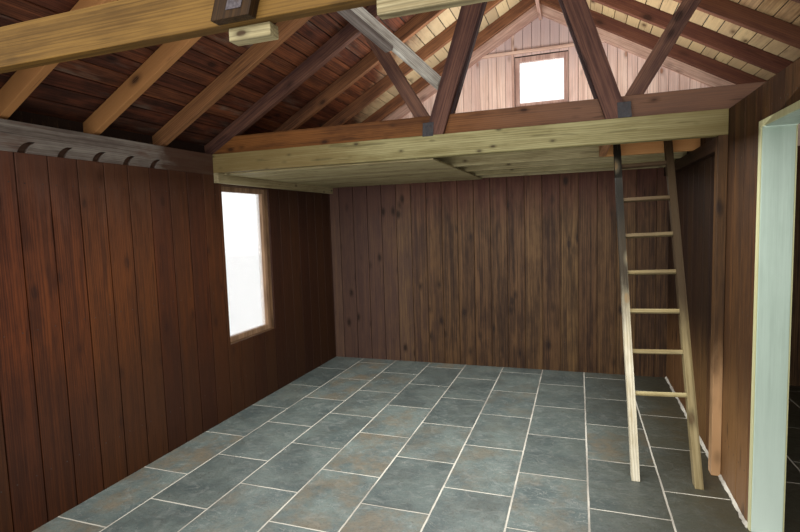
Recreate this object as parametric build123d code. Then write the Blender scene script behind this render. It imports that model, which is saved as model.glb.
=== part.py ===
from build123d import *
import os
from math import asin, atan2, cos, degrees, hypot, radians, tan

# Loft end of a small timber stable, two bays long. Millimetres, +Z up, Z = 0 at the ground.
# +Y runs from the open near end to the gable, +X to the right of someone walking in.

# Plan
half_inner = 2390           # centre line to the inner face of a side wall
wall_thickness = 140        # boards, studs and outer cladding together
cladding = 40               # outer skin that stands up outside the wall plate
bay = 2140                  # from one truss to the next
loft_depth = 1940           # loft truss to the gable wall's inner face
verge = 60                  # roof past the gable wall

# Heights
floor_top = 60              # slates and their bed above the ground
plate_height = 2155         # plate's top above the floor
plate_depth = 160
notch_gap = 217             # from one notch in the left plate's lower edge to the next
notch_last = 700            # the last one, back from the loft truss
notch_count = 7
notch_length = 100
notch_rise = 62
notch_depth = 18
header_depth = 145          # header, from the joists' underside to the plate's top

# Roof
pitch = 30
rafter_depth = 100
rafter_width = 47
rafter_gap = 535            # from one rafter to the next
roof_board = 22
roof_felt = 5
ridge_thickness = 30
ridge_depth = 150
eave = 150                  # roof past the outer face of a side wall
seat = 60                   # level cut of a rafter's foot on its plate

# Trusses
truss_thickness = 50
tie_depth = 135
strut_lap = 38              # thickness of an inner strut, lapped on the truss's face
inner_strut_width = 120
outer_strut_width = 90
inner_foot = 570            # middle of an inner strut's foot, from the centre line
inner_head = 105            # and of its head
outer_foot = 665            # middle of an outer strut's foot on the tie beam
outer_head = 1060           # and of its head under the chord
head_clear = 15             # inner struts stop this far under the roof boards
second_shift = 18           # second inner strut, behind the first, nearer to the centre line
batten_depth = 45           # batten under the near tie beam
batten_thickness = 38
batten_end = -145
packer_x = (-622, -480)     # short packing piece behind the batten's line
packer_depth = 38
packer_thickness = 45

# Loft
header_thickness = 75
joist_width = 47
joist_depth = 120
joist_places = (640, 1110, 1590)    # each joist's front face, on from the loft truss
deck_thickness = 25
soffit_board = 12
soffit_right = -600         # the soffit is boarded from the left wall to here
ledger_width = 45
ledger_depth = 80
hatch_left = 540            # hatch's left side; the partition is its right side

# Partition and its doorway
partition_face = 1150
partition_thickness = 130
door_near = 1440            # doorway's two sides, back from the loft truss
door_far = 610
door_head = 175             # boards over the doorway, under the plate's top
lining_thickness = 25
trim_width = 30             # strip over the joint of lining and boards
trim_thickness = 7
trim_reveal = 3
post_width = 75
post_depth = 50

# Windows
side_window_near = 25       # a side window's two sides, on from the loft truss
side_window_far = 695
side_window_height = 1320
side_window_clear = 10      # its head is this far under the loft's ledger
gable_window_width = 520
gable_window_height = 500
gable_window_clear = 358    # its head is this far under the rafters' meeting point
frame_width = 45
frame_depth = 70
frame_inset = 20            # from the wall's outer face
glass_thickness = 6

# Gable frame
rail_clear = 18             # above the gable window's head
rail_height = 28
rail_thickness = 30
stub_width = 25
stub_thickness = 15

# Ladder
ladder_foot_x = 835         # middle of the ladder at the floor
ladder_foot_back = 225      # its feet, back from the loft truss
ladder_side_lean = 1.6      # degrees to the left
ladder_over_deck = 70
rail_spacing = 330          # between the middles of the two rails
rail_width = 45
ladder_rail_depth = 66
rung_depth = 40
rung_thickness = 26
rung_housing = 12
first_rung = 505            # along the rails
rung_gap = 259
rung_count = 7

# Raking brace from the loft truss's left inner strut up to a rafter of the near bay
brace_width = 76
brace_thickness = 38
brace_foot_height = 330     # above the plate's top
brace_head_x = -1040
brace_rafter = 2            # counted on from the near truss
doubler_width = 60          # shorter board nailed under the brace
doubler_thickness = 30
doubler_start = 470         # from the brace's foot

# Worked out from the above
slope = tan(radians(pitch))
plumb = 1 / cos(radians(pitch))
length = strut_lap + truss_thickness / 2 + bay + loft_depth + wall_thickness + verge
near_end = -length / 2
near_truss = near_end + strut_lap + truss_thickness / 2
loft_truss = near_truss + bay
gable_in = loft_truss + loft_depth
gable_out = gable_in + wall_thickness
roof_end = gable_out + verge
half_outer = half_inner + wall_thickness
plate_outer = half_outer - cladding
plate_top = floor_top + plate_height
plate_bottom = plate_top - plate_depth
seat_inner = plate_outer - seat
eave_x = half_outer + eave
ridge_half = ridge_thickness / 2
tie_top = plate_top + tie_depth
tie_corner = seat_inner - tie_depth / slope
soffit = plate_top - header_depth
deck_top = soffit + joist_depth + deck_thickness
header_front = loft_truss - truss_thickness / 2 - strut_lap
header_back = header_front + header_thickness
hatch_back = loft_truss + joist_places[0]


def block(x0, x1, y0, y1, z0, z1):
    size = (x1 - x0, y1 - y0, z1 - z0)
    return Pos((x0 + x1) / 2, (y0 + y1) / 2, (z0 + z1) / 2) * Box(*size)


def along_y(points, y0, y1):
    """A profile in X and Z, carried from y0 to y1."""
    plane = Plane(origin=(0, y1, 0), x_dir=(1, 0, 0), z_dir=(0, -1, 0))
    return extrude(plane * make_face(Polyline(*points, close=True)), amount=y1 - y0)


def other_side(shape):
    return mirror(shape, about=Plane.YZ)


def under_rafters(x):
    """Height of the rafters' underside at a distance x from the centre line."""
    return plate_top + (seat_inner - x) * slope


def over_rafters(x):
    return under_rafters(x) + rafter_depth * plumb


def over_boards(x):
    return over_rafters(x) + roof_board * plumb


def over_felt(x):
    return over_boards(x) + roof_felt * plumb


def rafter_places(first, last):
    """Middles of the common rafters between two places along Y."""
    count = round((last - first) / rafter_gap)
    return [first + rafter_gap * n for n in range(1, count)]


def rafter(y, width):
    """A right-hand rafter or truss chord, with its birdsmouth over the plate."""
    profile = [
        (ridge_half, under_rafters(ridge_half)),
        (seat_inner, plate_top),
        (plate_outer, plate_top),
        (plate_outer, under_rafters(plate_outer)),
        (eave_x, under_rafters(eave_x)),
        (eave_x, over_rafters(eave_x)),
        (ridge_half, over_rafters(ridge_half)),
    ]
    return along_y(profile, y - width / 2, y + width / 2)


def tie_beam(y):
    """Its upper corners are cut to the slope, so that the chords lie on them."""
    profile = [
        (-seat_inner, plate_top),
        (seat_inner, plate_top),
        (tie_corner, tie_top),
        (-tie_corner, tie_top),
    ]
    return along_y(profile, y - truss_thickness / 2, y + truss_thickness / 2)


def sloping_bar(foot, head, width, y0, y1):
    """A bar between two points in X and Z, a width too long at each end."""
    run = hypot(head[0] - foot[0], head[1] - foot[1])
    ux, uz = (head[0] - foot[0]) / run, (head[1] - foot[1]) / run
    bar = Pos(run / 2, 0) * Rectangle(run + 2 * width, width)
    plane = Plane(origin=(foot[0], y1, foot[1]), x_dir=(ux, 0, uz), z_dir=(0, -1, 0))
    return extrude(plane * bar, amount=y1 - y0)


def inner_line(shift=0):
    """Middle of an inner strut's foot and of its head, in X and Z."""
    head_z = under_rafters(inner_head) + rafter_depth / 2
    return (inner_foot - shift, plate_top), (inner_head - shift, head_z)


def strut_edge(z):
    """Distance from the centre line to an inner strut's outer edge at a height."""
    foot, head = inner_line()
    rise = head[1] - foot[1]
    half = inner_strut_width / 2 * hypot(foot[0] - head[0], rise) / rise
    return foot[0] + (head[0] - foot[0]) * (z - foot[1]) / rise + half


def inner_strut(y):
    """Right-hand inner strut, lapped on the truss's front face from the tie beam to the apex."""
    y0, y1 = y - truss_thickness / 2 - strut_lap, y - truss_thickness / 2
    bar = sloping_bar(*inner_line(), inner_strut_width, y0, y1)
    drop = head_clear * plumb
    limit = [
        (ridge_half, plate_top),
        (half_inner, plate_top),
        (half_inner, over_rafters(half_inner) - drop),
        (ridge_half, over_rafters(ridge_half) - drop),
    ]
    return bar & along_y(limit, y0, y1)


def seated_strut(y, foot, head, width):
    """Right-hand strut in the truss's own plane, standing on the tie beam and cut under the chord."""
    y0, y1 = y - truss_thickness / 2, y + truss_thickness / 2
    bar = sloping_bar(foot, head, width, y0, y1)
    return bar & along_y([(0, tie_top), (tie_corner, tie_top), (0, under_rafters(0))], y0, y1)


def outer_strut(y):
    head = (outer_head, under_rafters(outer_head))
    return seated_strut(y, (outer_foot, tie_top), head, outer_strut_width)


def second_strut(y):
    """The inner strut's partner, face to face behind it."""
    return seated_strut(y, *inner_line(second_shift), inner_strut_width)


def both_sides(piece):
    return [piece, other_side(piece)]


near_rafters = rafter_places(near_truss, loft_truss)
loft_rafters = rafter_places(loft_truss, gable_in)
common_rafters = near_rafters + loft_rafters + [gable_in - rafter_width / 2]
right_rafters = [rafter(y, rafter_width) for y in common_rafters]
near_chord = rafter(near_truss, truss_thickness)
loft_chord = rafter(loft_truss, truss_thickness)


def side_wall():
    """The right-hand wall. Its outer skin goes up between the rafters to the roof boards."""
    profile = [
        (half_inner, 0),
        (half_outer, 0),
        (half_outer, over_rafters(half_outer)),
        (plate_outer, over_rafters(plate_outer)),
        (plate_outer, plate_bottom),
        (half_inner, plate_bottom),
    ]
    wall = along_y(profile, near_end, gable_in)
    for piece in right_rafters + [near_chord, loft_chord]:
        wall -= piece
    return wall - block(half_inner - 1, half_outer + 1, *side_window_y, *side_window_z)


def gable_wall():
    profile = [
        (-half_outer, 0),
        (half_outer, 0),
        (half_outer, over_rafters(half_outer)),
        (0, over_rafters(0)),
        (-half_outer, over_rafters(half_outer)),
    ]
    hole = block(*gable_window_x, gable_in - 1, gable_out + 1, *gable_window_z)
    return along_y(profile, gable_in, gable_out) - hole


def inset(span):
    return span[0] + frame_width, span[1] - frame_width


def middle_of(span, thickness):
    middle = (span[0] + span[1]) / 2
    return middle - thickness / 2, middle + thickness / 2


def roof_slope():
    """The right-hand roof boards."""
    profile = [
        (0, over_rafters(0)),
        (eave_x, over_rafters(eave_x)),
        (eave_x, over_boards(eave_x)),
        (0, over_boards(0)),
    ]
    return along_y(profile, near_end, roof_end)


def felt():
    """One skin over both slopes."""
    outer = [(-eave_x, over_felt(eave_x)), (0, over_felt(0)), (eave_x, over_felt(eave_x))]
    inner = [(eave_x, over_boards(eave_x)), (0, over_boards(0)), (-eave_x, over_boards(eave_x))]
    return along_y(outer + inner, near_end, roof_end)


def ridge_board():
    top = over_rafters(ridge_half)
    profile = [
        (-ridge_half, top - ridge_depth),
        (ridge_half, top - ridge_depth),
        (ridge_half, top),
        (0, over_rafters(0)),
        (-ridge_half, top),
    ]
    return along_y(profile, near_end, gable_in)


def door_lining():
    """Head and two jambs in one piece, as deep as the partition."""
    y0, y1 = door_y
    t = lining_thickness
    inside = block(partition_x[0] - 1, partition_x[1] + 1, y0 + t, y1 - t, floor_top - 1, door_top - t)
    return block(*partition_x, y0, y1, floor_top, door_top) - inside


def door_trim(x0, x1):
    """A strip on one face of the partition, over the joint between the boards and the lining."""
    inner = lining_thickness - trim_reveal
    outer = inner - trim_width
    y0, y1 = door_y
    opening = block(x0 - 1, x1 + 1, y0 + inner, y1 - inner, floor_top - 1, door_top - inner)
    return block(x0, x1, y0 + outer, y1 - outer, floor_top, door_top - outer) - opening


def notched_plate():
    """The left plate, drawn on the right. Curved notches rise from its lower edge."""
    notched = plate
    for n in range(notch_count):
        near = (loft_truss - notch_last - notch_gap * n, plate_bottom)
        far = (near[0] + notch_length * 0.45, plate_bottom)
        tip = (near[0] + notch_length, plate_bottom + notch_rise)
        steep = ThreePointArc(near, (near[0] + notch_length * 0.3, near[1] + notch_rise * 0.7), tip)
        flat = ThreePointArc(tip, (near[0] + notch_length * 0.62, near[1] + notch_rise * 0.5), far)
        outline = make_face(steep + flat + Line(far, near))
        notched -= extrude(Plane.YZ.offset(half_inner - 1) * outline, amount=notch_depth + 1)
    return notched


def gable_rail():
    """A thin rail over the window, from rafter to rafter."""
    bottom, top = rail_z
    wide = seat_inner - (bottom - plate_top) / slope
    narrow = seat_inner - (top - plate_top) / slope
    profile = [(-wide, bottom), (wide, bottom), (narrow, top), (-narrow, top)]
    return along_y(profile, gable_in - rail_thickness, gable_in)


def gable_stubs():
    """An upright strip along the window's left side, stopped above and below the rail."""
    x0, x1 = gable_window_x[0] - stub_width, gable_window_x[0]
    upper = [(x0, rail_z[1]), (x1, rail_z[1]), (x1, under_rafters(-x1)), (x0, under_rafters(-x0))]
    lower = [(x0, gable_window_z[0]), (x1, gable_window_z[0]), (x1, rail_z[0]), (x0, rail_z[0])]
    return [along_y(profile, gable_in - stub_thickness, gable_in) for profile in (upper, lower)]


def ladder():
    """Two rails and the rungs housed in them, leaning on the deck's edge at the hatch."""
    foot_y = loft_truss - ladder_foot_back
    dy, dz = hatch_back - foot_y, deck_top - floor_top
    lean = degrees(atan2(dy, dz) - asin(ladder_rail_depth / 2 / hypot(dy, dz)))
    place = Pos(ladder_foot_x, foot_y, floor_top) * Rot(X=-lean) * Rot(Y=-ladder_side_lean)
    rail_length = (dz + ladder_over_deck) / cos(radians(lean))
    above_floor = block(0, partition_face, near_end, gable_in, floor_top, over_rafters(0))
    inner = rail_spacing / 2 - rail_width / 2
    rails = []
    rungs = []
    for n in range(rung_count):
        z = first_rung + rung_gap * n
        half = inner + rung_housing
        rungs.append(block(-half, half, -rung_depth / 2, rung_depth / 2,
                           z - rung_thickness / 2, z + rung_thickness / 2))
    for side in (-1, 1):
        rail = Pos(side * rail_spacing / 2, 0, rail_length / 2) * Box(
            rail_width, ladder_rail_depth, rail_length + 2 * rail_width)
        for rung in rungs:
            rail -= rung
        rails.append((place * rail) & above_floor)
    return rails, [place * rung for rung in rungs]


def roof_brace():
    """A board from the inner strut's edge to the underside of a rafter, and one nailed under it."""
    foot_z = plate_top + brace_foot_height
    foot = Vector(-strut_edge(foot_z), header_front + strut_lap / 2, foot_z)
    head_y = near_truss + rafter_gap * brace_rafter
    head = Vector(brace_head_x, head_y, under_rafters(-brace_head_x))
    run = (head - foot).length
    along = (head - foot).normalized()
    across = along.cross(Vector(0, 0, 1))
    end = Plane(origin=foot - along * brace_width, x_dir=across, z_dir=along)
    board = extrude(end * Rectangle(brace_thickness, brace_width), amount=run + 2 * brace_width)
    top_z = under_rafters(inner_head + inner_strut_width)
    edge = strut_edge(top_z)
    limit = [
        (-strut_edge(plate_top), plate_top),
        (-seat_inner, plate_top),
        (-edge, under_rafters(edge)),
        (-edge, top_z),
    ]
    start = Plane(origin=foot + along * doubler_start, x_dir=across, z_dir=along)
    below = Pos(0, (brace_width + doubler_thickness) / 2) * Rectangle(doubler_width, doubler_thickness)
    doubler = extrude(start * below, amount=run - doubler_start)
    return board & along_y(limit, near_end, header_front + strut_lap), doubler


side_window_y = (loft_truss + side_window_near, loft_truss + side_window_far)
side_window_top = soffit - ledger_depth - side_window_clear
side_window_z = (side_window_top - side_window_height, side_window_top)
side_frame_x = (half_outer - frame_inset - frame_depth, half_outer - frame_inset)
gable_window_x = (-gable_window_width / 2, gable_window_width / 2)
gable_window_top = under_rafters(0) - gable_window_clear
gable_window_z = (gable_window_top - gable_window_height, gable_window_top)
rail_z = (gable_window_top + rail_clear, gable_window_top + rail_clear + rail_height)
gable_frame_y = (gable_out - frame_inset - frame_depth, gable_out - frame_inset)
door_y = (loft_truss - door_near, loft_truss - door_far)

side_frame = block(*side_frame_x, *side_window_y, *side_window_z)
side_frame -= block(half_inner, half_outer, *inset(side_window_y), *inset(side_window_z))
side_glass = block(*middle_of(side_frame_x, glass_thickness), *inset(side_window_y), *inset(side_window_z))
gable_frame = block(*gable_window_x, *gable_frame_y, *gable_window_z)
gable_frame -= block(*inset(gable_window_x), gable_in, gable_out, *inset(gable_window_z))
gable_glass_y = middle_of(gable_frame_y, glass_thickness)
gable_glass = block(*inset(gable_window_x), *gable_glass_y, *inset(gable_window_z))

partition_x = (partition_face, partition_face + partition_thickness)
trim_faces = (
    (partition_x[0] - trim_thickness, partition_x[0]),
    (partition_x[1], partition_x[1] + trim_thickness),
)
door_top = plate_top - door_head
right_wall = side_wall()
plate = block(half_inner, plate_outer, near_end, gable_in, plate_bottom, plate_top)
boards = roof_slope()
rails, rungs = ladder()
brace, doubler = roof_brace()
left_face = -half_inner
joist_fronts = [loft_truss + place for place in joist_places] + [gable_in - joist_width]
joist_z = (soffit, soffit + joist_depth)
joists = [block(left_face, partition_face, y, y + joist_width, *joist_z) for y in joist_fronts]
trimmer_x = (hatch_left - joist_width, hatch_left)
deck = block(left_face, partition_face, header_back, gable_in, deck_top - deck_thickness, deck_top)
deck -= block(hatch_left, partition_face + 1, header_back - 1, hatch_back, soffit, deck_top + 1)
post_y = (header_front, header_front + post_width)
ledger_z = (soffit - ledger_depth, soffit)
batten_y = middle_of((near_truss, near_truss), batten_thickness)
packer_y = middle_of((near_truss, near_truss + truss_thickness), packer_thickness)
soffit_x = (left_face + ledger_width, soffit_right)

parts = {
    "floor_slab": block(left_face, half_inner, near_end, gable_in, 0, floor_top),
    "left_wall": other_side(right_wall),
    "right_wall": right_wall,
    "gable_wall": gable_wall(),
    "left_window_frame": other_side(side_frame),
    "left_window_glass": other_side(side_glass),
    "right_window_frame": side_frame,
    "right_window_glass": side_glass,
    "gable_window_frame": gable_frame,
    "gable_window_glass": gable_glass,
    "gable_rail": gable_rail(),
    "gable_stub": gable_stubs(),
    "left_wall_plate": other_side(notched_plate()),
    "right_wall_plate": plate,
    "partition_near": block(*partition_x, near_end, door_y[0], floor_top, plate_top),
    "partition_far": block(*partition_x, door_y[1], gable_in, floor_top, plate_top),
    "partition_head": block(*partition_x, *door_y, door_top, plate_top),
    "door_lining": door_lining(),
    "door_trim": [door_trim(*face) for face in trim_faces],
    "header_post": block(partition_face - post_depth, partition_face, *post_y, floor_top, soffit),
    "near_tie_beam": tie_beam(near_truss),
    "tie_batten": block(batten_end, partition_face, *batten_y, plate_top - batten_depth, plate_top),
    "tie_packer": block(*packer_x, *packer_y, plate_top - packer_depth, plate_top),
    "near_chords": both_sides(near_chord),
    "near_inner_struts": both_sides(inner_strut(near_truss)),
    "near_second_struts": both_sides(second_strut(near_truss)),
    "near_outer_struts": both_sides(outer_strut(near_truss)),
    "loft_tie_beam": tie_beam(loft_truss),
    "loft_left_chord": other_side(loft_chord),
    "loft_right_chord": loft_chord,
    "loft_left_inner_strut": other_side(inner_strut(loft_truss)),
    "loft_right_inner_strut": inner_strut(loft_truss),
    "loft_second_struts": both_sides(second_strut(loft_truss)),
    "loft_left_outer_strut": other_side(outer_strut(loft_truss)),
    "loft_right_outer_strut": outer_strut(loft_truss),
    "ridge_board": ridge_board(),
    "left_rafters": [other_side(piece) for piece in right_rafters],
    "right_rafters": right_rafters,
    "left_roof_boards": other_side(boards),
    "right_roof_boards": boards,
    "roof_felt": felt(),
    "header_beam": block(left_face, partition_face, header_front, header_back, soffit, plate_top),
    "loft_joists": joists,
    "hatch_trimmer": block(*trimmer_x, header_back, hatch_back, *joist_z),
    "left_ledger": block(left_face, left_face + ledger_width, header_front, gable_in, *ledger_z),
    "partition_ledger": block(partition_face - ledger_width, partition_face, post_y[1], gable_in, *ledger_z),
    "loft_deck": deck,
    "soffit_boards": block(*soffit_x, header_back, gable_in, soffit - soffit_board, soffit),
    "ladder_left_rail": rails[0],
    "ladder_right_rail": rails[1],
    "ladder_rungs": rungs,
    "roof_brace": brace,
    "brace_doubler": doubler,
}

os.makedirs("parts", exist_ok=True)
for name, shape in parts.items():
    if isinstance(shape, list):
        shape = Compound([solid for piece in shape for solid in piece.solids()])
    export_step(shape, f"parts/{name}.step")
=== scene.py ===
from itertools import product
from math import cos, pi, radians, sin, tan
from random import Random
import bmesh
import bpy
from mathutils import Euler, Matrix, Vector, noise
from mathutils.bvhtree import BVHTree


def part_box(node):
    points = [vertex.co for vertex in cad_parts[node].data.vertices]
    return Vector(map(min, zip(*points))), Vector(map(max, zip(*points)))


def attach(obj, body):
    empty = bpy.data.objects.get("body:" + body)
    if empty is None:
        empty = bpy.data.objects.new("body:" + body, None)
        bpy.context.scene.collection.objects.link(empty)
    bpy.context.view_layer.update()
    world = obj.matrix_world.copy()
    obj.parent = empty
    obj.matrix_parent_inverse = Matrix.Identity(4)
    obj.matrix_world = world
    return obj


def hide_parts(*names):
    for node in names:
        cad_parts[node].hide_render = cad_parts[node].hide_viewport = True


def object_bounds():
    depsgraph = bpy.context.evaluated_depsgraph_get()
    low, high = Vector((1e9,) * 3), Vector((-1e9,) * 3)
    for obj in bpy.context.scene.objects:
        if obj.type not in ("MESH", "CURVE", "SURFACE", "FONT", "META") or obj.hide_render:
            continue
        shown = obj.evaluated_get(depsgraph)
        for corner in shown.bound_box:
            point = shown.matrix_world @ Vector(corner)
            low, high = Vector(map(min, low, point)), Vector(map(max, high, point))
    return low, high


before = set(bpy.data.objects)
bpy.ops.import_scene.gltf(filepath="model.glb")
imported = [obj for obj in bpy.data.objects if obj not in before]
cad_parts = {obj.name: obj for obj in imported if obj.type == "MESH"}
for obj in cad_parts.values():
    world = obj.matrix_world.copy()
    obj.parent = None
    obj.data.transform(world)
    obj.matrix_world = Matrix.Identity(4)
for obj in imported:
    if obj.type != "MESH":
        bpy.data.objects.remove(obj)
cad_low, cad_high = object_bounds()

# The loft end of a small timber stable. Metres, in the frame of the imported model:
# +Y runs from the open near end to the gable, +X to the right of someone walking in.

# Boards
wall_board = 0.175
match_board = 0.0875  # gable boards over the loft
board_gap = 0.006
lining_thickness = 0.018  # inner boards of a wall or partition
cladding_thickness = 0.020  # outer boards
roof_plank = 0.112
roof_plank_thickness = 0.018
deck_board = 0.145
deck_thickness = 0.025
soffit_plank = 0.121
soffit_thickness = 0.012
board_start = -1.3785  # a joint between two boards of the left wall
board_segment = 0.35  # a board may wander a little from one such length to the next
spare = 0.05  # boards are laid this far past their node and cut back to it

# Nails
nail_radius = 0.0035
nail_height = 0.002
nail_play = 0.004  # a nail sits up to this far off its line
nail_search = 0.03  # a board's face is looked for from this far in front
nail_reach = 0.006  # a nail further than this from a face is left out
nail_proud = 0.0002  # a head's middle over the face

# Slates
flag_width = 0.405  # from one column of slates to the next
flag_length = 0.600
flag_joint = 0.011
flag_depth = 0.028
joint_depth = 0.0025  # grout lies this far under the slates
flags_across, flags_along = 13, 9
flag_corner = (-0.005 - 6 * flag_width, -0.300 - 4 * flag_length)  # where the first slate would start
flag_margin = 0.002  # the slates' outer edges lie this far inside their bed's

# Roof
roof_slope = radians(30)
felt_rows = 3  # sheets on each slope
felt_lap = 0.075
felt_drop = 0.0029  # the layer under the sheets lies this far under the felt's face
felt_face = 0.002  # points this close to the face belong to it
ridge_strip = 0.16  # down each slope from the ridge
gable_band = 0.06  # rafters this close to the gable's boards take their pale finish, painted window light as on the boards

# Finish of the timbers
arris = 0.003
wander = 0.0008
wander_length = 0.4  # over which a timber bends one way
ring_width = 0.011  # from one year's ring to the next
wave_period = 0.314  # of Blender's wave texture at a scale of 1

X, Y, Z = Vector((1, 0, 0)), Vector((0, 1, 0)), Vector((0, 0, 1))
WELD = 1e-5
noise.seed_set(5)  # noise_vector would take the clock's time for a seed


def paint(red, green, blue):
    """A colour as it looks on a screen, 0 to 255, in the light values that a shader takes."""
    values = [channel / 255 for channel in (red, green, blue)]
    return tuple(v / 12.92 if v <= 0.04045 else ((v + 0.055) / 1.055) ** 2.4 for v in values) + (1.0,)


# Node trees

class Wire:
    """A socket of a node tree. Sums on it add Math nodes."""

    def __init__(self, tree, socket):
        self.tree = tree
        self.socket = socket

    def maths(self, operation, *others):
        values = dict(enumerate((self, *others)))
        return self.tree.node("ShaderNodeMath", values, operation=operation)

    def __add__(self, other):
        return self.maths("ADD", other)

    def __sub__(self, other):
        return self.maths("SUBTRACT", other)

    def __mul__(self, other):
        return self.maths("MULTIPLY", other)

    def __truediv__(self, other):
        return self.maths("DIVIDE", other)

    def step(self, low, high, start=0.0, end=1.0):
        """Rises smoothly from start to end while the value goes from low to high."""
        return self.tree.node("ShaderNodeMapRange", {
            "Value": self, "From Min": low, "From Max": high, "To Min": start, "To Max": end},
            interpolation_type="SMOOTHSTEP")


class Tree:
    """Adds nodes to a node tree and joins them."""

    def __init__(self, nodes):
        self.nodes = nodes

    def join(self, socket, value):
        """Gives a socket a wire or a value. A colour may be given as it looks on a screen."""
        if isinstance(value, Wire):
            self.nodes.links.new(value.socket, socket)
        elif socket.type == "RGBA" and len(value) == 3:
            socket.default_value = paint(*value)
        else:
            socket.default_value = value

    def node(self, kind, values={}, output=0, **settings):
        made = self.nodes.nodes.new(kind)
        for name, setting in settings.items():
            setattr(made, name, setting)
        for name, value in values.items():
            self.join(made.inputs[name], value)
        return Wire(self, made.outputs[output])

    def vector(self, **parts):
        return self.node("ShaderNodeCombineXYZ", parts)

    def line(self, count, start=(0.0, 0.0, 0.0), **step):
        """Points in a row, each a step further than the last."""
        return self.node("GeometryNodeMeshLine", {
            "Count": count, "Start Location": start, "Offset": self.vector(**step)})

    def copies(self, points, shape):
        return self.node("GeometryNodeInstanceOnPoints", {"Points": points, "Instance": shape})

    def moved(self, instances, **by):
        return self.node("GeometryNodeTranslateInstances", {
            "Instances": instances, "Translation": self.vector(**by)})

    def chance(self, low, high, seed):
        """A number between low and high, another one for each instance."""
        values = {2: low, 3: high, "Seed": seed}
        return self.node("FunctionNodeRandomValue", values, 1, data_type="FLOAT")


class Finish(Tree):
    """A material. What is the same all over is given by name and set on the shader itself."""

    def __init__(self, name, **constants):
        self.material = bpy.data.materials.new(name)
        self.material.use_nodes = True
        super().__init__(self.material.node_tree)
        self.shader = self.nodes.nodes["Principled BSDF"]
        for socket, value in constants.items():
            self.shader.inputs[socket.replace("_", " ")].default_value = value
        self.place = self.node("ShaderNodeTexCoord", output="Object")
        self.space = self.place  # in which the patterns are laid out

    def stored(self, name, output="Fac"):
        return self.node("ShaderNodeAttribute", output=output, attribute_name=name)

    def vector_maths(self, operation, first, second, output=0):
        values = {0: first, 1: second}
        return self.node("ShaderNodeVectorMath", values, output, operation=operation)

    def stretch(self, sizes):
        """The space shrunk so that a pattern's features come out about as large as sizes, in metres."""
        return self.vector_maths("MULTIPLY", self.space, tuple(1 / size for size in sizes))

    def along(self, direction):
        """How far out a place lies in a direction."""
        return self.vector_maths("DOT_PRODUCT", self.place, direction, "Value")

    def noise(self, sizes, detail=3.0, roughness=0.5, distortion=0.0):
        """Cloudy noise with features about as large as sizes, in metres."""
        return self.node("ShaderNodeTexNoise", {
            "Vector": self.stretch(sizes), "Scale": 1.0, "Detail": detail, "Roughness": roughness,
            "Distortion": distortion})

    def mix(self, factor, first, second):
        return self.node("ShaderNodeMix", {0: factor, 6: first, 7: second}, 2, data_type="RGBA")

    def brighten(self, colour, value, hue=0.5):
        return self.node("ShaderNodeHueSaturation", {"Color": colour, "Value": value, "Hue": hue})

    def show(self, colour, roughness=None, height=None, depth=0.0):
        """Puts the finish on the shader. Its bumps have the height's pattern, and go so deep."""
        sockets = self.shader.inputs
        self.join(sockets["Base Color"], colour)
        if height:
            self.join(sockets["Roughness"], roughness)
            values = {"Height": height, "Distance": depth, "Strength": 1.0}
            bump = self.node("ShaderNodeBump", values)
            self.join(sockets["Normal"], bump)
        return self.material


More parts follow.
